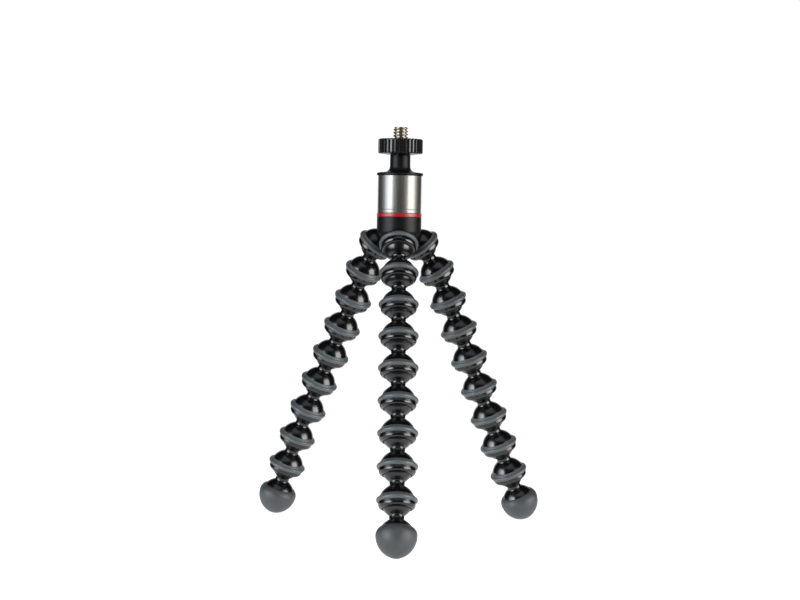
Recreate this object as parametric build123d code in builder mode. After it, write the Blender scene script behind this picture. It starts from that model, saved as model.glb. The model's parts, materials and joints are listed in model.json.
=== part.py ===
from build123d import *
import os
from math import asin, atan2, cos, degrees, hypot, radians, sin, sqrt

# A small flexible tripod: a camera screw on a short head, over three legs of balls and sockets.
# Millimetres and degrees. The origin is on the floor under the middle of the head, Z is up,
# and the first leg comes straight towards the viewer, along -Y.

# Legs: one socket on the hub, eight ball and socket units, then a foot, all at one pitch
ball_pitch = 13.63
units_per_leg = 8
leg_azimuths = {"leg_1": 270, "leg_2": 30, "leg_3": 150}
hub_socket_spread = 11.4
hub_socket_height = 119.8
hub_socket_lean = 41

# How each leg stands: azimuth at its top and foot, then lean from the vertical at top, middle and foot.
# The first unit leans out further than that, towards its socket on the hub.
leg_stances = {
    "leg_1": (272.2, 270.4, 23.3, 23.7, 25.3),
    "leg_2": (24.6, 30.1, 26.5, 22.4, 25.2),
    "leg_3": (136.5, 155.7, 24.4, 25.7, 18.5),
}
first_unit_extra_lean = 6.5

# Ball, neck and socket shell of one unit, heights measured from the socket's centre towards its ball
ball_radius = 6.15
ball_play = 0.08
neck_radius = 3.0
neck_fillet = 1.1
dome_radius = 7.15
mouth_radius = 5.45
seat_radius = 6.9
lip_radius = 7.35
lip_shoulder = -1.2
rim_radius = 6.05
rim_height = -2.8

# Soft grip ring round the socket: a bead with a conical collar above it
ring_top = 2.45
ring_top_lip = 0.12
collar_radius = 7.5
collar_height = 1.6
ring_radius = 8.17
ring_crown = 0.8
ring_bottom = -0.3
ring_bottom_radius = 7.45

# Foot: a domed stem with a soft cap like an acorn
cap_top = 3.55
cap_lip = 0.15
cap_radius = 8.17
cap_belly = 0.4
cap_flank_radius = 9.2
cap_nose_radius = 4.5
core_radius = 5.8
core_bottom = -3.3
core_round = 1.5

# Head, heights above the floor
hub_bottom = 116.4
hub_waist = 125.4
hub_foot_radius = 4.6
hub_foot_chamfer = 0.8
base_radius = 9.35
base_top = 131.8
band_radius = 9.4
band_top = 133.4
sleeve_radius = 9.25
sleeve_wall = 0.55
sleeve_top = 149.1
flange_radius = 9.7
flange_thickness = 1.5
flange_round = 0.5
flare_radius = 2.4
flare_edge_radius = 8.9
head_neck_radius = 4.27
head_neck_top = 157.7
spigot_radius = 7.4
screw_seat = 143.6

# Camera screw, 1/4 inch with 20 threads to the inch, and the lock ring that turns on it.
# Where the two threads mesh, both are drawn as plain cylinders at the thread's pitch radius.
screw_radius = 3.175
thread_pitch_radius = 2.76
screw_top = 169.4
screw_chamfer = 0.6
hex_across_flats = 11.11
hex_height = 4.0
lock_ring_radius = 9.4
lock_ring_bottom = 158.3
lock_ring_top = 164.4
lock_ring_play = 0.075
lock_ring_lift = 0.1
lock_ring_boss_radius = 4.9
lock_ring_chamfer = 0.45
lock_ring_lead_in = 0.6
ridge_count = 36
groove_radius = 0.5
groove_depth = 0.4

os.makedirs("parts", exist_ok=True)


def save(piece, name):
    """Label one finished piece and write its STEP file."""
    piece.label = name
    export_step(piece, f"parts/{name}.step")


def heading(lean, azimuth):
    """Unit vector down a leg that leans out from the vertical towards an azimuth."""
    out = sin(radians(lean))
    turn = radians(azimuth)
    return Vector(out * cos(turn), out * sin(turn), -cos(radians(lean)))


def unit_headings(stance, trim):
    """Directions of the nine units of a leg, its lean a parabola through top, middle and foot."""
    azimuth_top, azimuth_foot, lean_top, lean_middle, lean_foot = stance
    directions = []
    for index in range(units_per_leg + 1):
        s = index / units_per_leg
        lean = lean_top * (1 - s) * (1 - 2 * s) + lean_middle * 4 * s * (1 - s) + lean_foot * s * (2 * s - 1)
        if index == 0:
            lean += first_unit_extra_lean
        azimuth = azimuth_top + (azimuth_foot - azimuth_top) * s
        directions.append(heading(lean + trim, azimuth))
    return directions


def socket_centres(name, directions):
    """The hub socket's centre, then the far end of each unit down the leg."""
    turn = radians(leg_azimuths[name])
    points = [Vector(hub_socket_spread * cos(turn), hub_socket_spread * sin(turn), hub_socket_height)]
    for direction in directions:
        points.append(points[-1] + direction * ball_pitch)
    return points


def foot_drop(direction):
    """How far the lowest point of a leaning foot lies under its centre, on the cap's flank arc."""
    upright = -direction.Z
    aside = sqrt(1 - upright**2)
    return cap_flank_radius + (cap_radius - cap_flank_radius) * aside - cap_belly * upright


def settle_leg(name):
    """Add the same small lean to every unit until the foot just touches the floor."""
    low, high = -10.0, 10.0
    for _ in range(50):
        trim = (low + high) / 2
        directions = unit_headings(leg_stances[name], trim)
        points = socket_centres(name, directions)
        if points[-1].Z > foot_drop(directions[-1]):
            high = trim
        else:
            low = trim
    print(name, "lean trimmed by", round(trim, 2), "foot centre", points[-1])
    return directions, points


def section_plane(centre, up):
    """Plane of a half section, its X the radius and its Y the unit's axis towards its ball."""
    side = Vector(0, 0, 1).cross(up).normalized()
    return Plane(origin=centre, x_dir=side, z_dir=side.cross(up))


def height_on(radius_of_ball, radius):
    """Height above its centre at which a ball has the given radius."""
    return sqrt(radius_of_ball**2 - radius**2)


def fillet_spot(sphere_radius):
    """Where the neck's concave fillet leaves the neck, and where it meets a sphere at the origin."""
    reach = sphere_radius + neck_fillet
    height = height_on(reach, neck_radius + neck_fillet)
    share = sphere_radius / reach
    return height, ((neck_radius + neck_fillet) * share, height * share)


def draw_ball_and_neck(shoulder):
    """Outline from the ball's pole down the neck to a shoulder on the dome, in radius and height."""
    ball_drop, ball_edge = fillet_spot(ball_radius)
    dome_rise, dome_edge = fillet_spot(dome_radius)
    ball_edge = (ball_edge[0], ball_pitch - ball_edge[1])
    neck_start = (neck_radius, ball_pitch - ball_drop)
    neck_end = (neck_radius, dome_rise)
    pole = (0, ball_pitch + ball_radius)
    ThreePointArc(pole, (ball_radius, ball_pitch), ball_edge)
    RadiusArc(ball_edge, neck_start, -neck_fillet)
    Line(neck_start, neck_end)
    RadiusArc(neck_end, dome_edge, -neck_fillet)
    RadiusArc(dome_edge, shoulder, dome_radius)
    return pole


def ring_seat():
    """Top of the ring's straight seat, where the dome ends."""
    return (seat_radius, height_on(dome_radius, seat_radius))


def socket_mouth():
    """Edge of the cavity that holds the ball, in radius and height."""
    return (mouth_radius, -height_on(ball_radius + ball_play, mouth_radius))


def draw_seat_and_lip():
    """Outline from the ring's seat down the round lip, then in over its slanting rim to the mouth."""
    seat = ring_seat()
    seat_end = (seat_radius, ring_bottom)
    lip_start = (lip_radius, ring_bottom)
    shoulder = (lip_radius, lip_shoulder)
    rim_edge = (rim_radius, rim_height)
    mouth = socket_mouth()
    Line(seat, seat_end)
    Line(seat_end, lip_start)
    Line(lip_start, shoulder)
    TangentArc(shoulder, rim_edge, tangent=(0, -1))
    Line(rim_edge, mouth)
    return mouth


def draw_cavity(mouth):
    """Outline from the mouth round the space that holds the ball to its pole."""
    cavity_radius = ball_radius + ball_play
    pole = (0, cavity_radius)
    ThreePointArc(mouth, (cavity_radius, 0), pole)
    return pole


def make_segment(centre, up):
    """One hard unit: the ball above, the neck, the domed shell and the socket below."""
    with BuildPart() as segment:
        with BuildSketch(section_plane(centre, up)):
            with BuildLine():
                ball_pole = draw_ball_and_neck(ring_seat())
                mouth = draw_seat_and_lip()
                cavity_pole = draw_cavity(mouth)
                Line(cavity_pole, ball_pole)
            make_face()
        revolve(axis=Axis(centre, up))
    return segment.part


def make_ring(centre, up):
    """The soft ring round one socket: a bead of two arcs, and a collar that laps up over the dome."""
    seat = ring_seat()
    seat_end = (seat_radius, ring_bottom)
    dome_edge = (height_on(dome_radius, ring_top), ring_top)
    top_lip = (dome_edge[0] + ring_top_lip, ring_top)
    collar = (collar_radius, collar_height)
    crown = (ring_radius, ring_crown)
    bottom_edge = (ring_bottom_radius, ring_bottom)
    with BuildPart() as ring:
        with BuildSketch(section_plane(centre, up)):
            with BuildLine():
                RadiusArc(dome_edge, seat, dome_radius)
                Line(dome_edge, top_lip)
                Line(top_lip, collar)
                TangentArc(crown, collar, tangent=(0, 1))
                TangentArc(crown, bottom_edge, tangent=(0, -1))
                Line(bottom_edge, seat_end)
                Line(seat_end, seat)
            make_face()
        revolve(axis=Axis(centre, up))
    return ring.part


def make_foot(centre, up):
    """The hard stem of a foot: ball, neck, dome and the core that the soft cap is moulded on."""
    shoulder = (height_on(dome_radius, cap_top), cap_top)
    with BuildPart() as foot:
        with BuildSketch(section_plane(centre, up)):
            with BuildLine():
                pole = draw_ball_and_neck(shoulder)
                Line(shoulder, (core_radius, cap_top))
                Line((core_radius, cap_top), (core_radius, core_bottom + core_round))
                RadiusArc((core_radius, core_bottom + core_round),
                          (core_radius - core_round, core_bottom), core_round)
                Line((core_radius - core_round, core_bottom), (0, core_bottom))
                Line((0, core_bottom), pole)
            make_face()
        revolve(axis=Axis(centre, up))
    return foot.part


def make_foot_cap(centre, up):
    """The soft cap: a shoulder arc, a flank arc and a nose arc, each tangent to the next."""
    shoulder_radius = height_on(dome_radius, cap_top)
    top_edge = (shoulder_radius + cap_lip, cap_top)
    belly = (cap_radius, cap_belly)
    nose_reach = cap_flank_radius - cap_nose_radius
    flank_centre_radius = cap_radius - cap_flank_radius
    nose_centre = cap_belly - height_on(nose_reach, flank_centre_radius)
    turn = atan2(-flank_centre_radius, cap_belly - nose_centre)
    nose_edge = (cap_nose_radius * sin(turn), nose_centre - cap_nose_radius * cos(turn))
    nose = (0, nose_centre - cap_nose_radius)
    with BuildPart() as cap:
        with BuildSketch(section_plane(centre, up)):
            with BuildLine():
                TangentArc(belly, top_edge, tangent=(0, 1))
                RadiusArc(belly, nose_edge, cap_flank_radius)
                RadiusArc(nose_edge, nose, cap_nose_radius)
                Line(nose, (0, core_bottom))
                Line((0, core_bottom), (core_radius - core_round, core_bottom))
                RadiusArc((core_radius - core_round, core_bottom),
                          (core_radius, core_bottom + core_round), -core_round)
                Line((core_radius, core_bottom + core_round), (core_radius, cap_top))
                Line((core_radius, cap_top), top_edge)
            make_face()
        revolve(axis=Axis(centre, up))
    return cap.part


def make_hub_shell():
    """The hub's hard body: the post inside the sleeve, the base and three sockets."""
    dome_pole = (0, dome_radius)
    cup_bottom = (0, socket_mouth()[1])
    with BuildPart() as hub:
        with BuildSketch(Plane.XZ):
            with BuildLine():
                Polyline(
                    (0, hub_bottom),
                    (hub_foot_radius - hub_foot_chamfer, hub_bottom),
                    (hub_foot_radius, hub_bottom + hub_foot_chamfer),
                    (base_radius, hub_waist),
                    (base_radius, base_top),
                    (sleeve_radius - sleeve_wall, base_top),
                    (sleeve_radius - sleeve_wall, sleeve_top),
                    (spigot_radius, sleeve_top),
                    (spigot_radius, screw_seat),
                    (0, screw_seat),
                    close=True,
                )
            make_face()
        revolve(axis=Axis.Z)
        for centre, up in hub_sockets():
            with BuildSketch(section_plane(centre, up)):
                with BuildLine():
                    RadiusArc(dome_pole, ring_seat(), dome_radius)
                    mouth = draw_seat_and_lip()
                    Line(mouth, cup_bottom)
                    Line(cup_bottom, dome_pole)
                make_face()
            revolve(axis=Axis(centre, up))
        for centre, up in hub_sockets():
            with BuildSketch(section_plane(centre, up)):
                with BuildLine():
                    Line(cup_bottom, mouth)
                    cavity_pole = draw_cavity(mouth)
                    Line(cavity_pole, cup_bottom)
                make_face()
            revolve(axis=Axis(centre, up), mode=Mode.SUBTRACT)
            add(make_ring(centre, up), mode=Mode.SUBTRACT)
    return hub.part


def hub_sockets():
    """Centre and inward axis of each socket on the hub."""
    places = []
    for name, azimuth in leg_azimuths.items():
        centre = socket_centres(name, [])[0]
        places.append((centre, heading(hub_socket_lean, azimuth) * -1))
    return places


def make_band():
    """The thin coloured band between the base and the sleeve."""
    with BuildPart() as band:
        with BuildSketch(Plane.XY.offset(base_top)):
            Circle(band_radius)
            Circle(sleeve_radius - sleeve_wall, mode=Mode.SUBTRACT)
        extrude(amount=band_top - base_top)
    return band.part


def make_sleeve():
    """The polished tube round the post."""
    with BuildPart() as sleeve:
        with BuildSketch(Plane.XY.offset(band_top)):
            Circle(sleeve_radius)
            Circle(sleeve_radius - sleeve_wall, mode=Mode.SUBTRACT)
        extrude(amount=sleeve_top - band_top)
    return sleeve.part


def make_head_cap():
    """Flange, concave flare and neck in one, with a spigot below that traps the screw's head."""
    flange_top = sleeve_top + flange_thickness
    flare_bottom = (flare_edge_radius, flange_top)
    flare_top = (head_neck_radius, flange_top + flare_radius)
    with BuildPart() as cap:
        with BuildSketch(Plane.XZ):
            with BuildLine():
                Line((screw_radius, screw_seat), (spigot_radius, screw_seat))
                Line((spigot_radius, screw_seat), (spigot_radius, sleeve_top))
                Line((spigot_radius, sleeve_top), (flange_radius, sleeve_top))
                Line((flange_radius, sleeve_top), (flange_radius, flange_top - flange_round))
                RadiusArc((flange_radius, flange_top - flange_round),
                          (flange_radius - flange_round, flange_top), flange_round)
                Line((flange_radius - flange_round, flange_top), flare_bottom)
                TangentArc(flare_bottom, flare_top, tangent=(-1, 0))
                Line(flare_top, (head_neck_radius, head_neck_top))
                Line((head_neck_radius, head_neck_top), (screw_radius, head_neck_top))
                Line((screw_radius, head_neck_top), (screw_radius, screw_seat))
            make_face()
        revolve(axis=Axis.Z)
        with BuildSketch(Plane.XY.offset(screw_seat)):
            RegularPolygon(hex_across_flats / 2, 6, major_radius=False)
        extrude(amount=hex_height, mode=Mode.SUBTRACT)
    return cap.part


def make_camera_screw():
    """The camera screw: a hexagon head in the spigot and a stud out through the neck."""
    free_thread_start = lock_ring_top + lock_ring_lift
    with BuildPart() as screw:
        with BuildSketch(Plane.XY.offset(screw_seat)):
            RegularPolygon(hex_across_flats / 2, 6, major_radius=False)
        extrude(amount=hex_height)
        with BuildSketch(Plane.XY.offset(screw_seat)):
            Circle(screw_radius)
        extrude(amount=head_neck_top - screw_seat)
        with BuildSketch(Plane.XY.offset(head_neck_top)):
            Circle(thread_pitch_radius)
        extrude(amount=free_thread_start - head_neck_top)
        with BuildSketch(Plane.XY.offset(free_thread_start)):
            Circle(screw_radius)
        extrude(amount=screw_top - free_thread_start)
        chamfer(screw.edges().group_by(Axis.Z)[-1], screw_chamfer)
    return screw.part


def make_lock_ring():
    """The knurled ring: grooves round the rim, bevelled edges and a running bore over the thread."""
    bore = thread_pitch_radius + lock_ring_play
    under = head_neck_top + lock_ring_lift
    with BuildPart() as ring:
        with BuildSketch(Plane.XZ):
            Polygon(
                (bore, under),
                (lock_ring_boss_radius, under),
                (lock_ring_radius - lock_ring_chamfer, lock_ring_bottom),
                (lock_ring_radius, lock_ring_bottom + lock_ring_chamfer),
                (lock_ring_radius, lock_ring_top - lock_ring_chamfer),
                (lock_ring_radius - lock_ring_chamfer, lock_ring_top),
                (bore + lock_ring_lead_in, lock_ring_top),
                (bore, lock_ring_top - lock_ring_lead_in),
                align=None,
            )
        revolve(axis=Axis.Z)
        with BuildSketch(Plane.XY.offset(under)):
            with PolarLocations(lock_ring_radius + groove_radius - groove_depth, ridge_count):
                Circle(groove_radius)
        extrude(amount=lock_ring_top - under, mode=Mode.SUBTRACT)
    return ring.part


# Head pieces
hub_rings = [make_ring(centre, up) for centre, up in hub_sockets()]
hub_pieces = Compound(label="hub_body", children=[make_hub_shell(), *hub_rings])
save(hub_pieces, "hub_body")
save(make_band(), "accent_band")
save(make_sleeve(), "steel_sleeve")
save(make_head_cap(), "head_cap")
save(make_camera_screw(), "camera_screw")
save(make_lock_ring(), "lock_ring")

# Legs, from the hub down
for leg in leg_azimuths:
    unit_directions, centres = settle_leg(leg)
    for number in range(1, units_per_leg + 1):
        towards_ball = unit_directions[number - 1] * -1
        save(make_segment(centres[number], towards_ball), f"{leg}_segment_{number}")
        save(make_ring(centres[number], towards_ball), f"{leg}_ring_{number}")
    towards_ball = unit_directions[-1] * -1
    save(make_foot(centres[-1], towards_ball), f"{leg}_foot")
    save(make_foot_cap(centres[-1], towards_ball), f"{leg}_foot_cap")

# The widest lean that the neck has in its socket before it meets the mouth
mouth_reach = hypot(*socket_mouth())
free_lean = degrees(asin(mouth_radius / mouth_reach) - asin(neck_radius / mouth_reach))
print("neck meets the mouth at a lean of", round(free_lean, 1), "degrees")
print("total height", screw_top, "free thread above the lock ring", round(screw_top - lock_ring_top, 1))
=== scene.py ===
# %% [markdown]
# # A flexible ball-leg tripod
#
# The object is a small table-top tripod. Three legs hang from a black hub, and each leg is a chain
# of hard ball-and-socket units with a soft grip ring round every socket. Above the hub are a red
# band, a polished steel sleeve, a flared neck, a knurled lock ring and a short camera screw.
#
# Nearly every piece is round about one axis, so nearly every piece can be made in the same way: we
# draw half of its outline as a row of points, and sweep that row round the axis with numpy. The
# engineering model is loaded first and is never moved. It tells us where each joint is, and our
# pieces are placed by it.

# %% Load the frame and keep its size
import json
from math import pi, radians

import bpy
import numpy as np
from mathutils import Matrix, Vector


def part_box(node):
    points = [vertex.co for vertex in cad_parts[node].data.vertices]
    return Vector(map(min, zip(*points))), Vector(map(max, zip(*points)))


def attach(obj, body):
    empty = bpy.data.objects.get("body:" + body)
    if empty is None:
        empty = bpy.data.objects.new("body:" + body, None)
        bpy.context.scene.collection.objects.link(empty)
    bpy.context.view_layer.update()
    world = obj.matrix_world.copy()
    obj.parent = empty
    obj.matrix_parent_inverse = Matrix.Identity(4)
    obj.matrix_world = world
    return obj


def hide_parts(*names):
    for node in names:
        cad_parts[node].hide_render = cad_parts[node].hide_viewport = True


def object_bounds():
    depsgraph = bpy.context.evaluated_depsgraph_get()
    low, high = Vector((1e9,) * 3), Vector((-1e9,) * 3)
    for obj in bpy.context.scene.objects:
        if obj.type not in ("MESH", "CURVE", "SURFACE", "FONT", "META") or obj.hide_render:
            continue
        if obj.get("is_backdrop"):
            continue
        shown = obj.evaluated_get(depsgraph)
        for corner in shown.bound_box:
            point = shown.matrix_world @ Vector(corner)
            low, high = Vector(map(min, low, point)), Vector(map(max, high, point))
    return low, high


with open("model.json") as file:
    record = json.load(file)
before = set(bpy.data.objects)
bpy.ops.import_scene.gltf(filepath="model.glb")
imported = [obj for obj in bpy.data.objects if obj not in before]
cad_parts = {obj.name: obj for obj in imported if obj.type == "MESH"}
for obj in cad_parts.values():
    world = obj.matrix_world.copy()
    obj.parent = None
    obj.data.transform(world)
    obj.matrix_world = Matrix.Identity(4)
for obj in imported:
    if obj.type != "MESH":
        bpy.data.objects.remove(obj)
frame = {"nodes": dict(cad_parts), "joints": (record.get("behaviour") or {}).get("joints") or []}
cad_box = [list(corner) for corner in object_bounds()]
MM = 0.001

# %% [markdown]
# ## Where things are
#
# Every ball joint of the frame has a position, and those positions are the centres of the sockets.
# Reading them here, instead of typing them again, means that the skin always fits the skeleton.
# A foot has no joint below it, so its direction is measured: a turned body's centroid is on its own
# axis, and the line from the last ball's centre to the foot's centroid is that axis.

# %% Joint centres of each leg
LEGS = ("leg_1", "leg_2", "leg_3")
UNITS = 8
FEET = UNITS + 1

joint_place = {joint["name"]: np.array(joint["pos_m"]) / MM for joint in frame["joints"]}


def centroid(node):
    """Area-weighted centre of a node's surface: the mean of its triangles' centres by their areas, in mm."""
    mesh = frame["nodes"][node].data
    mesh.calc_loop_triangles()
    corners = np.zeros(len(mesh.vertices) * 3)
    mesh.vertices.foreach_get("co", corners)
    indices = np.zeros(len(mesh.loop_triangles) * 3, int)
    mesh.loop_triangles.foreach_get("vertices", indices)
    a, b, c = corners.reshape(-1, 3)[indices.reshape(-1, 3)].transpose(1, 0, 2)
    area = np.linalg.norm(np.cross(b - a, c - a), axis=1)
    return ((a + b + c) / 3 * area[:, None]).sum(0) / area.sum() / MM


def unit(vector):
    """The vector divided by its own length."""
    return vector / np.linalg.norm(vector)


def leg_centres(leg):
    """Centres of the hub's socket and the eight units' sockets, then the foot's centre, in mm."""
    centres = [joint_place[f"{leg}_ball_{number}"] for number in range(1, FEET + 1)]
    pitch = np.linalg.norm(centres[1] - centres[0])
    down = unit(centroid(f"{leg}_foot") - centres[-1])
    return np.array([*centres, centres[-1] + pitch * down])


CENTRES = {leg: leg_centres(leg) for leg in LEGS}
PITCH = float(np.linalg.norm(CENTRES["leg_1"][1] - CENTRES["leg_1"][0]))
print("pitch of the balls", round(PITCH, 2), "mm, foot centres",
      {leg: CENTRES[leg][-1].round(1).tolist() for leg in LEGS})

# %% [markdown]
# ## The camera
#
# The photograph was taken almost level, from about the height of the hub, with a long lens.
# A camera is placed before anything is shaped, so that each piece can be compared with the
# photograph as soon as it exists. Its axes are worked out from three small angles: how far it
# looks down, how far it is rolled, and how far it is turned aside.

# %% Camera at the photograph's viewpoint
IMAGE_WIDTH = 800
FOCAL_PIXELS = 1688.0
SENSOR = 36.0
CAMERA_PLACE = Vector((0, -709.2, 128.8)) * MM
LOOKS_DOWN = radians(2.57)
ROLLED = radians(1.05)
TURNED_ASIDE = radians(0.079)

camera_data = bpy.data.cameras.new("camera")
camera_data.sensor_fit = "HORIZONTAL"
camera_data.sensor_width = SENSOR
camera_data.lens = FOCAL_PIXELS / IMAGE_WIDTH * SENSOR
camera = bpy.data.objects.new("camera", camera_data)
bpy.context.scene.collection.objects.link(camera)
camera.matrix_world = (
    Matrix.Translation(CAMERA_PLACE)
    @ Matrix.Rotation(-TURNED_ASIDE, 4, "Z")
    @ Matrix.Rotation(pi / 2 - LOOKS_DOWN, 4, "X")
    @ Matrix.Rotation(ROLLED, 4, "Z")
)
bpy.context.scene.camera = camera
print("lens", round(camera_data.lens, 1), "mm")

# %% [markdown]
# ## Turning a surface
#
# A turned surface is a function of two parameters: the place s along an outline and the angle t
# round the axis. The point at (s, t) is the outline's height up the axis and the outline's radius
# out from it, in the direction of t. The whole grid is worked out at once as one array. Outlines
# run from the top down the outside, because then the faces point outwards. An outline that starts
# and ends on the axis is closed there by a fan of triangles round one point.

# %% From a grid to a mesh
AROUND = 72
GRIP_AROUND = 96
HEAD_AROUND = 144
SLEEVE_AROUND = 192
SHARP_ANGLE = radians(32)


def turned_mesh(radius, height, closed):
    """Points and faces of the surface (radius cos t, radius sin t, height).

    radius has a row for each place on the outline and a column for each angle, and the columns
    join up round the axis. If closed, the last row joins the first. If not, the first and last
    rows are on the axis, and each becomes one point with a fan of triangles.
    """
    rows, columns = radius.shape
    angle = np.linspace(0, 2 * pi, columns, endpoint=False)
    points = np.stack([radius * np.cos(angle), radius * np.sin(angle),
                       np.broadcast_to(height[:, None], radius.shape)], axis=2)
    index = np.arange(rows * columns).reshape(rows, columns)
    upper = index if closed else index[1:-2]
    lower = np.roll(index, -1, axis=0) if closed else index[2:-1]
    quads = np.stack([upper, lower, np.roll(lower, -1, 1), np.roll(upper, -1, 1)], axis=2)
    faces = quads.reshape(-1, 4).tolist()
    points = points.reshape(-1, 3)
    if closed:
        return points, faces
    ring_top, ring_bottom = index[1], index[-2]
    top_fan = np.stack([np.full(columns, columns - 1), ring_top, np.roll(ring_top, -1)], axis=1)
    bottom_fan = np.stack([np.full(columns, index[-1, 0]), np.roll(ring_bottom, -1), ring_bottom], axis=1)
    kept = slice(columns - 1, index[-1, 0] + 1)
    shifted = [(fan - (columns - 1)).tolist() for fan in (top_fan, bottom_fan)]
    faces = (quads.reshape(-1, 4) - (columns - 1)).tolist()
    return points[kept], shifted[0] + faces + shifted[1]


def placed(points, centre, up):
    """Points about the Z axis carried to an axis through centre, with Z turned onto up."""
    up = unit(np.array(up, float))
    level = np.hypot(up[0], up[1])
    aside = np.array([-up[1], up[0], 0.0]) / level if level > 1e-6 else np.array([1.0, 0.0, 0.0])
    return points @ np.stack([aside, np.cross(up, aside), up]) + np.array(centre, float)


def make_piece(name, points, faces, finishes, finish_of_face=None):
    """A piece from points in mm, shaded smooth except across real edges, with its materials."""
    mesh = bpy.data.meshes.new(name)
    mesh.from_pydata((points * MM).tolist(), [], faces)
    mesh.shade_smooth()
    mesh.set_sharp_from_angle(angle=SHARP_ANGLE)
    for finish in finishes:
        mesh.materials.append(finish)
    if finish_of_face is not None:
        mesh.polygons.foreach_set("material_index", finish_of_face)
    mesh.update()
    piece = bpy.data.objects.new(name, mesh)
    bpy.context.scene.collection.objects.link(piece)
    return piece


def fit_out(piece, body, slot, *nodes):
    """Tell the frame what a piece rides on and which nodes it stands for. The slot is not used."""
    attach(piece, body)
    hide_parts(*nodes)


# %% [markdown]
# ## Drawing an outline
#
# An outline is made of straight runs and arcs, as a moulder's drawing is. Real edges are never
# perfectly sharp, and the small rounds on them are what catches the light. One helper gives the
# points of an arc, one draws an arc that leaves a widest point upright, and one turns a list of
# corners into an outline whose corners are rounded.

# %% Arcs and rounded corners
ROUND_POINTS = 5


def arc(centre, size, start, end, count):
    """Points centre + size (cos a, sin a), as the angle a goes from start to end in degrees."""
    angle = np.radians(np.linspace(start, end, count))
    return np.array(centre) + size * np.stack([np.cos(angle), np.sin(angle)], axis=1)


def tangent_arc(widest, end, count):
    """Arc that is upright at its widest point and ends at another: size = (dx^2 + dy^2) / (2 dx)."""
    run, rise = widest[0] - end[0], end[1] - widest[1]
    size = (run**2 + rise**2) / (2 * run)
    return arc((widest[0] - size, widest[1]), size, 0, np.degrees(np.arcsin(rise / size)), count)


def rounded(corners, closed=False):
    """Outline through corners (radius, height, round), with an arc of that size at each corner.

    The arc touches both sides at size * tan(turn / 2) from the corner, where turn is the angle
    by which the outline turns. Between the two touching points it follows the circle whose centre
    is on the corner's bisector, at size / cos(turn / 2).
    """
    spots = np.array([corner[:2] for corner in corners], float)
    outline = []
    for index, (_, _, size) in enumerate(corners):
        last = len(corners) - 1
        if size == 0 or (not closed and index in (0, last)):
            outline.append(spots[index][None])
            continue
        before = unit(spots[index - 1] - spots[index])
        after = unit(spots[(index + 1) % len(corners)] - spots[index])
        half = np.arccos(np.clip(before @ after, -1, 1)) / 2
        middle = spots[index] + unit(before + after) * size / np.sin(half)
        first = spots[index] + before * size / np.tan(half) - middle
        second = spots[index] + after * size / np.tan(half) - middle
        share = np.linspace(0, 1, ROUND_POINTS)[:, None]
        bow = first * (1 - share) + second * share
        outline.append(middle + size * bow / np.linalg.norm(bow, axis=1)[:, None])
    return np.concatenate(outline)


def turned(name, outline, finishes, closed=False, centre=(0, 0, 0), up=(0, 0, 1), around=AROUND,
           finish_of_row=None):
    """Sweep an outline of (radius, height) rows once round an axis."""
    radius = np.repeat(outline[:, :1], around, axis=1)
    points, faces = turned_mesh(radius, outline[:, 1], closed)
    finish_of_face = None if finish_of_row is None else np.repeat(finish_of_row, around)
    return make_piece(name, placed(points, centre, up), faces, finishes, finish_of_face)


# %% [markdown]
# ## Finishes: one way to write a material
#
# Every finish starts from what the real surface is. Colours are written as the sRGB values that a
# paint chart or a screen would give, and one function turns them to the linear values that light
# is worked out in. One more function adds a node with its settings and links, so that a material
# reads as a short list.

# %% Colour and node helpers
def linear(code):
    """sRGB hex code to linear RGBA: c / 12.92 below 0.04045, else ((c + 0.055) / 1.055) to the 2.4."""
    srgb = np.array([int(code[place:place + 2], 16) for place in (1, 3, 5)]) / 255
    light = np.where(srgb <= 0.04045, srgb / 12.92, ((srgb + 0.055) / 1.055) ** 2.4)
    return (*light.tolist(), 1.0)


def add_node(tree, kind, settings=None, links=None):
    """Add a node, set its options and socket values, and link sockets from other nodes' outputs."""
    node = tree.nodes.new(kind)
    for name, value in (settings or {}).items():
        if name in node.inputs:
            node.inputs[name].default_value = value
        else:
            setattr(node, name, value)
    for name, output in (links or {}).items():
        tree.links.new(output, node.inputs[name])
    return node


def new_finish(name, **shader):
    """A material with one Principled shader. Returns the material, its tree and the shader."""
    finish = bpy.data.materials.new(name)
    finish.use_nodes = True
    tree = finish.node_tree
    tree.nodes.clear()
    settings = {key.replace("_", " ").title().replace("Ior", "IOR"): value for key, value in shader.items()}
    principled = add_node(tree, "ShaderNodeBsdfPrincipled", settings)
    add_node(tree, "ShaderNodeOutputMaterial", links={"Surface": principled.outputs[0]})
    return finish, tree, principled


def grain(tree, size_mm, detail=2.0, stretch=(1, 1, 1)):
    """Noise whose blobs are about size_mm across on the piece, drawn out by stretch."""
    place = add_node(tree, "ShaderNodeTexCoord")
    scale = tuple(1 / way for way in stretch)
    drawn = add_node(tree, "ShaderNodeMapping", {"Scale": scale}, {"Vector": place.outputs["Object"]})
    return add_node(tree, "ShaderNodeTexNoise", {"Scale": 1 / (size_mm * MM), "Detail": detail},
                    {"Vector": drawn.outputs[0]}).outputs[0]


def vary(tree, source, low, high):
    """Spread the middle of a noise, 0.3 to 0.7, over the range from low to high."""
    return add_node(tree, "ShaderNodeMapRange", {"From Min": 0.3, "From Max": 0.7, "To Min": low,
                                                 "To Max": high}, {"Value": source}).outputs[0]


def two_tone(tree, shader, source, dark, light):
    """Let a noise mix two close colours into the surface's own colour."""
    tone = add_node(tree, "ShaderNodeMix", {"data_type": "RGBA"}, {"Factor": vary(tree, source, 0.0, 1.0)})
    tone.inputs[6].default_value = linear(dark)
    tone.inputs[7].default_value = linear(light)
    tree.links.new(tone.outputs[2], shader.inputs["Base Color"])


def relief(tree, shader, source, depth_mm):
    """Let a noise raise and lower the surface by depth_mm, as the light sees it."""
    bump = add_node(tree, "ShaderNodeBump", {"Distance": depth_mm * MM, "Strength": 1.0}, {"Height": source})
    tree.links.new(bump.outputs[0], shader.inputs["Normal"])
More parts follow.
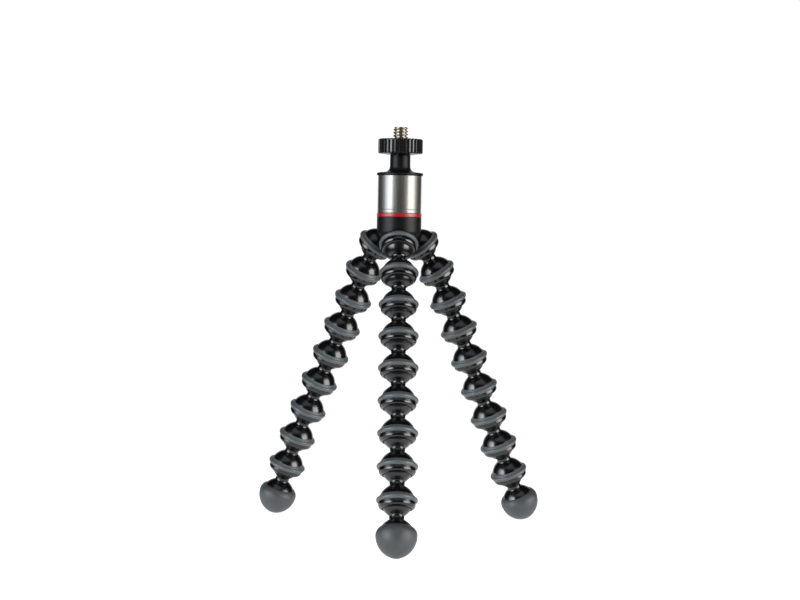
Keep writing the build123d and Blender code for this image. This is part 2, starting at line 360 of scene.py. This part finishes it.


# %% [markdown]
# ## Black moulded plastics
#
# The leg units are ABS, moulded in a polished tool. It comes out glossy, with a faint waviness two
# or three millimetres across that softens each highlight's edge. The ball on each unit is
# left duller, because a ball that grips its socket wants some tooth. The rim and the inside of each
# socket are matte. The hub and the head have a satin surface. The lock ring is matte in its grooves,
# and there its colour and shine are also turned down as painted shade. Its ridges are worn smooth
# by fingers, so they catch the light one by one.

# %% Moulded plastics
def black_moulding(name, colour, smoothest, roughest, wave_mm, wave_depth_mm, shine=0.5):
    """Black plastic whose roughness wanders between two values, with a waviness of one size."""
    finish, tree, shader = new_finish(name, base_color=linear(colour), ior=1.54, specular_ior_level=shine)
    wave = grain(tree, wave_mm)
    tree.links.new(vary(tree, wave, smoothest, roughest), shader.inputs["Roughness"])
    relief(tree, shader, wave, wave_depth_mm)
    return finish


GLOSSY_ABS = black_moulding("moulded ABS, polished tool", "#070708", 0.16, 0.22, 2.5, 0.004)
BALL_ABS = black_moulding("moulded ABS, ball with a dull grip", "#09090a", 0.2, 0.28, 0.6, 0.006)
RIM_ABS = black_moulding("moulded ABS, matte inside the socket", "#090909", 0.5, 0.6, 0.4, 0.01, 0.2)
SATIN_ABS = black_moulding("moulded ABS, satin tool", "#0d0d0e", 0.36, 0.44, 0.5, 0.006, 0.15)
HEAD_NYLON = black_moulding("moulded nylon, satin", "#0a0b0d", 0.36, 0.44, 0.4, 0.006, 0.12)
RIDGE_NYLON = black_moulding("moulded nylon, ridges worn smooth", "#070708", 0.26, 0.34, 0.3, 0.006, 0.5)
# Groove finish: matte, with a darker colour and lower shine than the ridges, which is painted shade in the
# grooves.
GROOVE_SHADE_NYLON = black_moulding("moulded nylon, matte, painted shade in the grooves", "#040405", 0.6, 0.7, 0.3, 0.008, 0.1)

# %% [markdown]
# ## Soft grips
#
# The rings and the feet are TPE, a soft rubber-like plastic. The rings are satin, cool grey and a
# little cloudy, and the feet are drier. Both have the fine grain of a sand-blasted tool, drawn at
# 0.25 mm so that it shows.

# %% Soft grip finishes
def soft_grip(name, dark, light, smoothest, roughest):
    """TPE in two close greys that drift over a few millimetres, with a fine blasted grain."""
    finish, tree, shader = new_finish(name, ior=1.5)
    two_tone(tree, shader, grain(tree, 4.0), dark, light)
    blasted = grain(tree, 0.25)
    tree.links.new(vary(tree, blasted, smoothest, roughest), shader.inputs["Roughness"])
    relief(tree, shader, blasted, 0.002)
    return finish


RING_TPE = soft_grip("moulded TPE, satin grip", "#43484a", "#4a4f51", 0.4, 0.48)
FOOT_TPE = soft_grip("moulded TPE, dry foot", "#34383a", "#3b3f41", 0.46, 0.54)

# %% [markdown]
# ## Metals and the red band
#
# The sleeve is stainless tube, turned and then polished. The turning leaves fine marks that scatter
# light widely, and the polish on top of them mirrors the soft boxes with clean edges, so the metal
# shows a bright stripe inside a broad glow. A rough metal under a thin smooth coat does both. The
# screw is nickel over brass, and a little of the brass's warmth comes through.

# %% Metal finishes
def turned_steel():
    """Polished stainless with upright streaks of slightly different tone, a few tenths wide."""
    finish, tree, shader = new_finish("stainless tube, turned and polished", metallic=1.0, roughness=0.44,
                                      coat_weight=1.0, coat_roughness=0.06)
    two_tone(tree, shader, grain(tree, 0.35, 3.0, (1, 1, 60)), "#5e5c59", "#7b7976")
    return finish


def nickel_over_brass():
    """Plated screw thread: warm nickel, with cloudy patches where the plating is thinner."""
    finish, tree, shader = new_finish("nickel plate over brass", metallic=1.0)
    thin = grain(tree, 0.8, 3.0)
    two_tone(tree, shader, thin, "#82796a", "#a69e92")
    tree.links.new(vary(tree, thin, 0.3, 0.42), shader.inputs["Roughness"])
    return finish


def red_moulding():
    """Red ABS with a faint waviness, as the black has."""
    finish, tree, shader = new_finish("moulded ABS, red", base_color=linear("#8e1212"), ior=1.54)
    wave = grain(tree, 1.5)
    tree.links.new(vary(tree, wave, 0.3, 0.38), shader.inputs["Roughness"])
    relief(tree, shader, wave, 0.004)
    return finish


STEEL = turned_steel()
NICKEL = nickel_over_brass()
RED_ABS = red_moulding()
print("finishes", len(bpy.data.materials))

# %% [markdown]
# ## One unit of a leg
#
# A unit is one hard moulding: a ball, a thin neck, a dome, a shallow seat for the ring, and a round
# lip that closes in below to hold the next ball. Its outline is nearly all arcs. The neck meets the
# ball and the dome in two concave fillets, and each fillet's circle touches a sphere and the neck,
# so its centre is at neck + fillet out from the axis and at sphere + fillet from the sphere's centre.
#
# The ring is a soft bead that fills the seat, with a conical collar above it that laps up over the
# dome. The two slopes catch different parts of the studio, so a ring shows as two bands of grey.

# %% Outline of a unit
BALL = 6.15
PLAY = 0.08
NECK = 3.0
FILLET = 1.1
DOME = 7.15
MOUTH = 5.45
SEAT = 6.9
LIP = 7.35
LIP_SHOULDER = -1.2
RIM = 6.05
RIM_HEIGHT = -2.8
RING_TOP = 2.45
RING_LIP = 0.12
COLLAR = 7.5
COLLAR_HEIGHT = 1.6
RING_WIDEST = 8.17
RING_CROWN = 0.8
RING_BOTTOM = -0.3
RING_BASE = 7.45
GLOSS, DULL, MATTE = 0, 1, 2


def other_side(size, side):
    """The third side of a right triangle from its longest and one more."""
    return float(np.sqrt(size**2 - side**2))


def ball_and_neck(shoulder_height):
    """From the ball's pole down round the ball, along the neck and down the dome to a height on it."""
    side = NECK + FILLET
    tilt_ball = np.degrees(np.arccos(side / (BALL + FILLET)))
    tilt_dome = np.degrees(np.arccos(side / (DOME + FILLET)))
    ball_fillet = (side, PITCH - other_side(BALL + FILLET, side))
    dome_fillet = (side, other_side(DOME + FILLET, side))
    shoulder = np.degrees(np.arcsin(shoulder_height / DOME))
    return [
        (DULL, arc((0, PITCH), BALL, 90, -tilt_ball, 22)),
        (GLOSS, arc(ball_fillet, FILLET, 180 - tilt_ball, 180, 7)[1:]),
        (GLOSS, arc(dome_fillet, FILLET, 180, 180 + tilt_dome, 7)),
        (GLOSS, arc((0, 0), DOME, tilt_dome, shoulder, 12)[1:]),
    ]


def seat_and_lip():
    """Down the ring's seat, out under the ring, and round the lip to the rim."""
    ledge = np.array([(SEAT, RING_BOTTOM), (LIP, RING_BOTTOM)])
    return [(GLOSS, ledge), (GLOSS, tangent_arc((LIP, LIP_SHOULDER), (RIM, RIM_HEIGHT), 14))]


def cavity():
    """From the mouth that holds the next ball round to the cavity's pole."""
    size = BALL + PLAY
    throat = -np.degrees(np.arccos(MOUTH / size))
    return [(MATTE, arc((0, 0), size, throat, 90, 14))]


def joined(parts):
    """The parts as one outline, and for each row of faces the finish of the part that it ends in."""
    finish_of_point = np.repeat([finish for finish, _ in parts], [len(points) for _, points in parts])
    return np.concatenate([points for _, points in parts]), finish_of_point[1:]


def ring_outline():
    """Section of a grip ring: the collar's slope, the bead's two arcs, a flat seat and the dome's own arc."""
    dome_edge = (other_side(DOME, RING_TOP), RING_TOP)
    collar = rounded([(*dome_edge, 0), (dome_edge[0] + RING_LIP, RING_TOP, 0.08), (COLLAR, COLLAR_HEIGHT, 0)])
    widest = (RING_WIDEST, RING_CROWN)
    upper = tangent_arc(widest, (COLLAR, COLLAR_HEIGHT), 9)[::-1]
    lower = tangent_arc(widest, (RING_BASE, RING_BOTTOM), 11)
    edge = rounded([(*lower[-2], 0), (*lower[-1], 0.08), (SEAT, RING_BOTTOM, 0)])
    lap = arc((0, 0), DOME, np.degrees(np.arccos(SEAT / DOME)), np.degrees(np.arcsin(RING_TOP / DOME)), 4)
    return np.concatenate([collar[:-1], upper[:-1], lower[:-1], edge[1:], lap[:-1]])


UNIT_OUTLINE, UNIT_FINISH = joined(ball_and_neck(other_side(DOME, SEAT)) + seat_and_lip() + cavity())
RING_OUTLINE = ring_outline()
print("outline points: unit", len(UNIT_OUTLINE), "ring", len(RING_OUTLINE))

# %% [markdown]
# ## The legs
#
# The same unit and the same ring are placed eight times on each leg. Each is put at its socket's
# centre with its axis pointing back to the socket before it, and rides on its own body. The ball's
# faces take the duller finish, the rim and the inside of the socket the matte one, and the rest of
# the unit the glossy one.

# %% Units and rings
BLACKS = [GLOSSY_ABS, BALL_ABS, RIM_ABS]


def make_unit(leg, number):
    """One hard unit and its soft ring at a socket of a leg."""
    centre = CENTRES[leg][number]
    up = CENTRES[leg][number - 1] - centre
    shell = turned(f"{leg}_unit_{number}", UNIT_OUTLINE, BLACKS, centre=centre, up=up,
                   finish_of_row=UNIT_FINISH)
    ring = turned(f"{leg}_grip_{number}", RING_OUTLINE, [RING_TPE], closed=True, centre=centre, up=up,
                  around=GRIP_AROUND)
    body = f"{leg}_segment_{number}"
    fit_out(shell, body, "moulded_abs", body)
    fit_out(ring, body, "soft_ring", f"{leg}_ring_{number}")


for leg in LEGS:
    for number in range(1, UNITS + 1):
        make_unit(leg, number)
print("units", len(LEGS) * UNITS)

# %% [markdown]
# ## The feet
#
# A foot is a stem like a unit's, but with a core in place of the socket, and a soft cap moulded
# over the core. The cap is shaped like an acorn: a tight shoulder, a flank with a long radius and a
# rounder nose. The three arcs touch without a kink, because each circle's centre lies on the line
# through the point where it takes over from the one before.

# %% Feet and caps
CAP_TOP = 3.55
CAP_LIP = 0.15
CAP_WIDEST = 8.17
CAP_BELLY = 0.4
FLANK = 9.2
NOSE = 4.5
CORE = 5.8
CORE_BOTTOM = -3.3
CORE_ROUND = 1.5


def core_outline():
    """Below the dome: in to the core, down it and round to the axis."""
    shoulder = other_side(DOME, CAP_TOP)
    return rounded([(shoulder, CAP_TOP, 0), (CORE, CAP_TOP, 0), (CORE, CORE_BOTTOM, CORE_ROUND),
                    (0, CORE_BOTTOM, 0)])[1:]


def cap_outline():
    """Shoulder, flank and nose arcs outside, then back up over the core."""
    top = (other_side(DOME, CAP_TOP) + CAP_LIP, CAP_TOP)
    shoulder = tangent_arc((CAP_WIDEST, CAP_BELLY), top, 9)[::-1]
    flank_centre = (CAP_WIDEST - FLANK, CAP_BELLY)
    nose_height = CAP_BELLY - other_side(FLANK - NOSE, flank_centre[0])
    turn = -np.degrees(np.arctan2(CAP_BELLY - nose_height, -flank_centre[0]))
    flank = arc(flank_centre, FLANK, 0, turn, 14)
    nose = arc((0, nose_height), NOSE, turn, -90, 10)
    core = core_outline()[::-1]
    edge = rounded([(top[0] - 0.3, CAP_TOP, 0), (top[0], CAP_TOP, 0.12), tuple(shoulder[1]) + (0,)])
    return np.concatenate([edge[1:-1], shoulder[1:], flank[1:], nose[1:], core[:-1], [(CORE, CAP_TOP)]])


STEM_OUTLINE, STEM_FINISH = joined(ball_and_neck(CAP_TOP) + [(GLOSS, core_outline())])
CAP_OUTLINE = cap_outline()

for leg in LEGS:
    centre = CENTRES[leg][FEET]
    up = CENTRES[leg][FEET - 1] - centre
    stem = turned(f"{leg}_foot_stem", STEM_OUTLINE, BLACKS, centre=centre, up=up, finish_of_row=STEM_FINISH)
    cap = turned(f"{leg}_foot_grip", CAP_OUTLINE, [FOOT_TPE], closed=True, centre=centre, up=up,
                 around=GRIP_AROUND)
    fit_out(stem, f"{leg}_foot", "moulded_abs", f"{leg}_foot")
    fit_out(cap, f"{leg}_foot", "foot_rubber", f"{leg}_foot_cap")
print("foot outline points", len(STEM_OUTLINE), len(CAP_OUTLINE))

# %% [markdown]
# ## Round bites
#
# Two pieces are turned and then bitten into. The hub's cone makes room for three round sockets, and
# the lock ring's rim is grooved by small round cuts. Seen from the axis, a bite is a circle ahead:
# a ray at angle d to one side of it meets its near edge at c cos(d) - sqrt(g^2 - c^2 sin^2(d)),
# where c is the distance to its centre and g its half width at that height. The piece keeps the
# lesser of its own radius and that. No mesh is cut, so the grid stays clean.

# %% Turned pieces with bites
def bitten(outline, around, distance, half_width, angles):
    """Radius grid of an outline, cut back to the near edge of round bites at the given angles."""
    angle = np.linspace(0, 2 * pi, around, endpoint=False)
    off = angle[None, :, None] - np.array(angles)[None, None, :]
    under_root = half_width[:, None, None] ** 2 - (distance * np.sin(off)) ** 2
    hit = (under_root > 0) & (np.cos(off) > 0)
    near = np.where(hit, distance * np.cos(off) - np.sqrt(np.maximum(under_root, 0)), np.inf)
    return np.minimum(outline[:, :1], near.min(axis=2))


def finer(outline, step):
    """The same outline with points added on straight runs, none further apart than step."""
    lengths = np.linalg.norm(np.diff(outline, axis=0), axis=1)
    counts = np.maximum(np.ceil(lengths / step).astype(int), 1)
    runs = [np.linspace(a, b, count, endpoint=False) for a, b, count in zip(outline, outline[1:], counts)]
    return np.concatenate([*runs, outline[-1:]])


def extent(node):
    """Largest radius about the Z axis, lowest and highest point of a node of the head, in mm."""
    low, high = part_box(node)
    return high.x / MM, low.z / MM, high.z / MM


# %% [markdown]
# ## The hub
#
# The hub is one moulding: a cone with three sockets looking out and down, and above it a post that
# hides in the sleeve. The cone is turned with a bite where each socket goes. The bite is a little
# smaller than the socket's dome, so its edge is buried in the socket's wall.

# %% Hub body and its three sockets
HUB_BOTTOM = 116.4
HUB_FOOT = 4.6
HUB_CHAMFER = 0.8
HUB_WAIST = 125.4
HUB_WAIST_ROUND = 2.0
HUB_BASE = 9.35
HUB_STEP = 0.5
SOCKET_LEAN = radians(41)
BITE = 6.6
SLEEVE_WALL = 0.55
SPIGOT = 7.4
SCREW_SEAT = 143.6

socket_spots = np.array([CENTRES[leg][0] for leg in LEGS])
socket_spread = float(np.hypot(socket_spots[0, 0], socket_spots[0, 1]))
socket_angles = np.arctan2(socket_spots[:, 1], socket_spots[:, 0])
sleeve_radius, sleeve_bottom, sleeve_top = extent("steel_sleeve")
band_radius, band_bottom, band_top = extent("accent_band")


def hub_outline():
    """Post, base and cone, from the floor of the screw's bore round the outside to the underside."""
    post = sleeve_radius - SLEEVE_WALL
    return rounded([
        (0, SCREW_SEAT, 0), (SPIGOT, SCREW_SEAT, 0), (SPIGOT, sleeve_top, 0), (post, sleeve_top, 0),
        (post, band_bottom, 0), (HUB_BASE, band_bottom, 0.15), (HUB_BASE, HUB_WAIST, HUB_WAIST_ROUND),
        (HUB_FOOT, HUB_BOTTOM + HUB_CHAMFER, 0.5), (HUB_FOOT - HUB_CHAMFER, HUB_BOTTOM, 0.3),
        (0, HUB_BOTTOM, 0)])


def make_hub():
    """The turned hub with a bite for each socket's ball space."""
    outline = finer(hub_outline(), HUB_STEP)
    rise = outline[:, 1] - socket_spots[0, 2]
    half_width = np.sqrt(np.maximum(BITE**2 - rise**2, 0))
    radius = bitten(outline, HEAD_AROUND, socket_spread, half_width, socket_angles)
    points, faces = turned_mesh(radius, outline[:, 1], False)
    hub = make_piece("hub_shell", points, faces, [SATIN_ABS])
    fit_out(hub, "hub", "moulded_abs", "hub_body")


def make_hub_socket(number, spot, angle):
    """A socket's shell and its grip ring, leaning out from the hub."""
    up = -np.array([np.sin(SOCKET_LEAN) * np.cos(angle), np.sin(SOCKET_LEAN) * np.sin(angle),
                    -np.cos(SOCKET_LEAN)])
    shoulder = np.degrees(np.arccos(SEAT / DOME))
    outline, finishes = joined([(GLOSS, arc((0, 0), DOME, 90, shoulder, 14))] + seat_and_lip() + cavity())
    shell = turned(f"hub_socket_{number}", outline, BLACKS, centre=spot, up=up, finish_of_row=finishes)
    ring = turned(f"hub_grip_{number}", RING_OUTLINE, [RING_TPE], closed=True, centre=spot, up=up,
                  around=GRIP_AROUND)
    fit_out(shell, "hub", "moulded_abs", "hub_body")
    fit_out(ring, "hub", "soft_ring", "hub_body")


make_hub()
for number, (spot, angle) in enumerate(zip(socket_spots, socket_angles), 1):
    make_hub_socket(number, spot, angle)
print("hub sockets at", np.degrees(socket_angles).round(1).tolist(), "degrees")

# %% [markdown]
# ## Band, sleeve and head
#
# These are plain turned pieces, and the small rounds on their edges do the work. The sleeve also has
# a fine groove turned a little above its lower edge. The head is one moulding: a thin flange, a
# concave flare and a straight neck.

# %% Band, sleeve and head
GROOVE_RISE = 1.5
GROOVE_WIDTH = 0.22
GROOVE_DEPTH = 0.06
FLANGE_THICKNESS = 1.5
FLANGE_SLOPE = 0.35
FLANGE_ROUND = 0.45
FLARE = 2.4
HEAD_NECK = 4.27
SCREW_HOLE = 3.2


def make_band():
    """The red band: a short tube with its outer edges rounded."""
    inner = sleeve_radius - SLEEVE_WALL
    outline = rounded([(inner, band_top, 0), (band_radius, band_top, 0.2), (band_radius, band_bottom, 0.2),
                       (inner, band_bottom, 0)], closed=True)
    band = turned("red_band", outline, [RED_ABS], closed=True, around=HEAD_AROUND)
    fit_out(band, "hub", "accent_plastic", "accent_band")


def make_sleeve():
    """The steel tube, with a shallow groove turned near its lower edge."""
    inner = sleeve_radius - SLEEVE_WALL
    groove = sleeve_bottom + GROOVE_RISE
    outline = rounded([
        (inner, sleeve_top, 0), (sleeve_radius, sleeve_top, 0.12),
        (sleeve_radius, groove + GROOVE_WIDTH / 2, 0.05), (sleeve_radius - GROOVE_DEPTH, groove, 0),
        (sleeve_radius, groove - GROOVE_WIDTH / 2, 0.05),
        (sleeve_radius, sleeve_bottom, 0.12), (inner, sleeve_bottom, 0)], closed=True)
    sleeve = turned("steel_tube", outline, [STEEL], closed=True, around=SLEEVE_AROUND)
    fit_out(sleeve, "hub", "polished_steel", "steel_sleeve")


def make_head():
    """Flange, flare and neck, with the spigot below and the screw's hole through the middle."""
    flange, spigot_bottom, neck_top = extent("head_cap")
    flange_top = sleeve_top + FLANGE_THICKNESS
    flare = arc((HEAD_NECK + FLARE, flange_top + FLARE), FLARE, 180, 270, 10)
    outline = np.concatenate([
        rounded([(SCREW_HOLE, neck_top, 0), (HEAD_NECK, neck_top, 0.25),
                 (HEAD_NECK, flange_top + FLARE, 0)])[:-1],
        flare,
        rounded([(HEAD_NECK + FLARE, flange_top, 0), (flange, flange_top - FLANGE_SLOPE, FLANGE_ROUND),
                 (flange, sleeve_top, 0.3), (SPIGOT, sleeve_top, 0), (SPIGOT, spigot_bottom, 0),
                 (SCREW_HOLE, spigot_bottom, 0)])[1:],
    ])
    head = turned("head_neck", outline, [HEAD_NYLON], closed=True, around=HEAD_AROUND)
    fit_out(head, "hub", "head_plastic", "head_cap")


make_band()
make_sleeve()
make_head()
print("sleeve", round(sleeve_radius * 2, 2), "mm across,", round(sleeve_top - sleeve_bottom, 1), "mm tall")

# %% [markdown]
# ## The lock ring
#
# The ring is tightened by finger and thumb, so its rim is grooved. A groove is the bite of a small
# round cutter, and 36 of them leave 36 narrow ridges. The edges of the ring are bevelled, and the
# grooves run out through the bevels. Faces that lie deep enough in a groove take the matte finish,
# which is also darker and less shiny, as painted shade in the grooves.

# %% Lock ring
RIDGES = 36
CUTTER = 0.5
CUT_DEPTH = 0.4
BEVEL = 0.45
RING_BOSS = 4.9
BOSS_DROP = 0.5
RING_BORE = 2.83
LEAD_IN = 0.6
RING_STEP = 0.6
PER_RIDGE = 12
# Depth into a groove from which a face takes the painted groove shade.
GROOVE_SHADE_START = 0.12


def make_lock_ring():
    """The knurled ring, bored for the thread, with a lead-in cone at the top of the bore."""
    rim, boss_bottom, top = extent("lock_ring")
    bottom = boss_bottom + BOSS_DROP
    outline = rounded([
        (RING_BORE, top - LEAD_IN, 0), (RING_BORE + LEAD_IN, top, 0.05),
        (rim - BEVEL, top, 0.1), (rim, top - BEVEL, 0.12), (rim, bottom + BEVEL, 0.12),
        (rim - BEVEL, bottom, 0.1), (RING_BOSS, boss_bottom, 0.1), (RING_BORE, boss_bottom, 0)], closed=True)
    outline = finer(np.concatenate([outline, outline[:1]]), RING_STEP)[:-1]
    angles = np.arange(RIDGES) * 2 * pi / RIDGES
    half_width = np.full(len(outline), CUTTER)
    radius = bitten(outline, RIDGES * PER_RIDGE, rim + CUTTER - CUT_DEPTH, half_width, angles)
    points, faces = turned_mesh(radius, outline[:, 1], True)
    # Faces deep in a groove take the darker, duller finish: painted shade in the grooves.
    groove_shade_mask = radius < outline[:, :1] - GROOVE_SHADE_START
    ring = make_piece("lock_ring_knurled", points, faces, [RIDGE_NYLON, GROOVE_SHADE_NYLON],
                      groove_shade_mask.ravel().astype(int))
    fit_out(ring, "lock_ring", "knurled_plastic", "lock_ring")


make_lock_ring()
print("lock ring with", RIDGES, "ridges")

# %% [markdown]
# ## The camera screw
#
# The screw is the standard one for small cameras, 1/4 inch with 20 threads to the inch. A thread
# is a radius that depends on height and angle together: going once round moves the same shape up
# by one pitch. Flats at the crest and the root, with sloping flanks between them, give it a real
# thread's section. The standard puts two flanks 60 degrees apart, and here they are about 55. The
# top is cut by a cone, as a chamfer does, and below that the crests run out into the cone in the
# way they do on a real screw.

# %% Camera screw
THREAD_PITCH = 1.27
THREAD_DEPTH = 0.7
SCREW_RADIUS = 3.175
MESHED_RADIUS = 2.76
CREST_FLAT = 0.16
ROOT_FLAT = 0.26
HEX_FLATS = 11.11
HEX_HEIGHT = 4.0
SCREW_CHAMFER = 0.6
TIP_INSET = 0.1
THREAD_SUNK = 0.1
ROWS_PER_TURN = 20


def thread_radius(height, angle):
    """Screw radius: a ramp in the distance from the nearest crest, cut flat at crest and root."""
    turn = height / THREAD_PITCH - angle / (2 * pi)
    away = np.abs(turn - np.floor(turn) - 0.5) * 2
    slope = (away - ROOT_FLAT) / (1 - ROOT_FLAT - CREST_FLAT)
    return SCREW_RADIUS - THREAD_DEPTH * (1 - np.clip(slope, 0, 1))


def make_screw():
    """Hexagon head, shank and thread as one surface whose radius is a function of height and angle."""
    around = GRIP_AROUND
    top = extent("camera_screw")[2]
    neck_top = extent("head_cap")[2]
    ring_top = extent("lock_ring")[2]
    angle = np.linspace(0, 2 * pi, around, endpoint=False)[None, :]
    hexagon = HEX_FLATS / 2 / np.cos(np.mod(angle, pi / 3) - pi / 6)
    heights = np.arange(neck_top, top, THREAD_PITCH / ROWS_PER_TURN)[::-1][:, None]
    thread = thread_radius(heights, angle)
    thread = np.where(heights < ring_top - THREAD_SUNK, np.minimum(thread, MESHED_RADIUS), thread)
    tip = SCREW_RADIUS - SCREW_CHAMFER + (top - heights)
    thread = np.minimum(thread, tip)
    end = np.full((1, around), SCREW_RADIUS - SCREW_CHAMFER - TIP_INSET)
    shank = np.full((2, around), SCREW_RADIUS)
    hexes = np.repeat(hexagon, 2, axis=0)
    pole = np.zeros((1, around))
    radius = np.concatenate([pole, np.minimum(end, thread_radius(top, angle)), thread, shank, hexes, pole])
    height = np.concatenate([[top, top], heights[:, 0], [neck_top, SCREW_SEAT + HEX_HEIGHT],
                             [SCREW_SEAT + HEX_HEIGHT, SCREW_SEAT], [SCREW_SEAT]])
    points, faces = turned_mesh(radius, height, False)
    screw = make_piece("camera_stud", points, faces, [NICKEL])
    fit_out(screw, "hub", "nickel_plate", "camera_screw")


make_screw()
print("thread pitch", THREAD_PITCH, "mm")

# %% [markdown]
# ## The floor
#
# The tripod stands on a white table that is overexposed in the photograph, so its edge does not
# show. A plain pale sheet does the same if it glows a little by its own light.

# %% Floor
FLOOR_RADIUS = 170.0
FLOOR_THICKNESS = 1.0
FLOOR_GLOW = 0.8


def make_floor():
    """A pale round sheet that the tripod stands on."""
    finish = new_finish("matt white card", base_color=linear("#f2f2f2"), roughness=0.9,
                        emission_color=linear("#ffffff"), emission_strength=FLOOR_GLOW)[0]
    outline = np.array([(0, 0.0), (FLOOR_RADIUS, 0.0), (FLOOR_RADIUS, -FLOOR_THICKNESS),
                        (0, -FLOOR_THICKNESS)])
    floor = turned("floor", outline, [finish], around=GRIP_AROUND)
    floor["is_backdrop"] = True


make_floor()
print("floor", FLOOR_RADIUS * 2, "mm across")

# %% [markdown]
# ## The painted studio
#
# The photograph is a white studio shot: a large soft box on each side in front, a white backdrop
# behind, and a dark room round them. Glossy black shows nothing but what it mirrors, so this room
# matters as much as the materials, and all of it is painted on the world.
#
# A direction in the room is an azimuth and an elevation. A light is a patch with four soft edges,
# because a real soft box fades towards its sides, and a patch without hard corners leaves soft oval
# highlights. A dim panel high in front puts the faint grey glow on top of each dome. The lights are
# added up, and only the camera's own rays see plain white instead.

# %% World
# Each light: four azimuths and four elevations, its colour and its radiance. It starts at the first
# angle, is full from the second to the third, and is gone at the fourth. The right soft box comes
# first, then the left one, then the panel high in front.
LIGHTS = [
    ((40, 46, 74, 96), (-22, -4, 14, 34), "#fffdfa", 9.0),
    ((-96, -48, -43, -31), (-18, -2, 16, 34), "#f4f9ff", 11.0),
    ((-65, -30, 30, 65), (28, 45, 70, 88), "#eef4fa", 0.9),
]
BACKDROP_START, BACKDROP_FULL = 0.74, 0.92
BACKDROP_GONE, BACKDROP_TOP = 55.0, 25.0
ROOM_GLOW = 0.02
WHITE_SEEN = 1.05


def fade(tree, value, none, full):
    """Smooth step from 0 where the value is none to 1 where it is full."""
    return add_node(tree, "ShaderNodeMapRange", {"interpolation_type": "SMOOTHSTEP", "From Min": none,
                                                "From Max": full}, {"Value": value}).outputs[0]


def product(tree, *factors):
    """All the factors multiplied."""
    total = factors[0]
    for factor in factors[1:]:
        total = add_node(tree, "ShaderNodeMath", {"operation": "MULTIPLY"}, {0: total, 1: factor}).outputs[0]
    return total


def patch(tree, azimuth, elevation, across, up, colour, radiance):
    """A glowing patch: across and up each give four angles, where it starts, is full, ends and is gone."""
    glow = product(tree, fade(tree, azimuth, across[0], across[1]), fade(tree, azimuth, across[3], across[2]),
                   fade(tree, elevation, up[0], up[1]), fade(tree, elevation, up[3], up[2]))
    strength = add_node(tree, "ShaderNodeMath", {"operation": "MULTIPLY"}, {0: glow})
    strength.inputs[1].default_value = radiance
    return add_node(tree, "ShaderNodeBackground", {"Color": linear(colour)},
                    {"Strength": strength.outputs[0]})


def make_world():
    """White for the camera. For everything else, the lights, a backdrop and a dim room.

    Azimuth is atan2(x, -y) in degrees, 0 towards the camera and positive to its right.
    Elevation is asin(z) in degrees.
    """
    world = bpy.data.worlds.new("studio")
    world.use_nodes = True
    tree = world.node_tree
    tree.nodes.clear()
    ray = add_node(tree, "ShaderNodeTexCoord")
    parts = add_node(tree, "ShaderNodeSeparateXYZ", links={"Vector": ray.outputs["Generated"]})
    towards = add_node(tree, "ShaderNodeMath", {"operation": "MULTIPLY"}, {0: parts.outputs["Y"]})
    towards.inputs[1].default_value = -1.0
    turn = add_node(tree, "ShaderNodeMath", {"operation": "ARCTAN2"},
                    {0: parts.outputs["X"], 1: towards.outputs[0]})
    lift = add_node(tree, "ShaderNodeMath", {"operation": "ARCSINE"}, {0: parts.outputs["Z"]})
    azimuth = add_node(tree, "ShaderNodeMath", {"operation": "DEGREES"}, {0: turn.outputs[0]}).outputs[0]
    elevation = add_node(tree, "ShaderNodeMath", {"operation": "DEGREES"}, {0: lift.outputs[0]}).outputs[0]
    away = fade(tree, parts.outputs["Y"], BACKDROP_START, BACKDROP_FULL)
    low = fade(tree, elevation, BACKDROP_GONE, BACKDROP_TOP)
    shaders = [patch(tree, azimuth, elevation, *light) for light in LIGHTS]
    shaders.append(add_node(tree, "ShaderNodeBackground", {"Color": (1, 1, 1, 1)},
                            {"Strength": product(tree, away, low)}))
    shaders.append(add_node(tree, "ShaderNodeBackground", {"Color": (1, 1, 1, 1), "Strength": ROOM_GLOW}))
    room = shaders[0]
    for shader in shaders[1:]:
        room = add_node(tree, "ShaderNodeAddShader", {}, {0: room.outputs[0], 1: shader.outputs[0]})
    white = add_node(tree, "ShaderNodeBackground", {"Color": (1, 1, 1, 1), "Strength": WHITE_SEEN})
    path = add_node(tree, "ShaderNodeLightPath")
    seen = add_node(tree, "ShaderNodeMixShader", {}, {0: path.outputs["Is Camera Ray"], 1: room.outputs[0],
                                                      2: white.outputs[0]})
    add_node(tree, "ShaderNodeOutputWorld", links={"Surface": seen.outputs[0]})
    bpy.context.scene.world = world


make_world()
bpy.context.scene.view_settings.view_transform = "Standard"
print("lights painted on the world", len(LIGHTS))

# %% [markdown]
# ## Finish
#
# The visual model's box is set beside the engineering model's box and the largest difference is printed, so
# that any growth shows.

# %% Compare the two boxes and finish
visual_box = [list(corner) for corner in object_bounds()]
growth = np.abs(np.array(visual_box) - np.array(cad_box)).max() / MM
print("largest difference between the boxes", round(float(growth), 3), "mm")
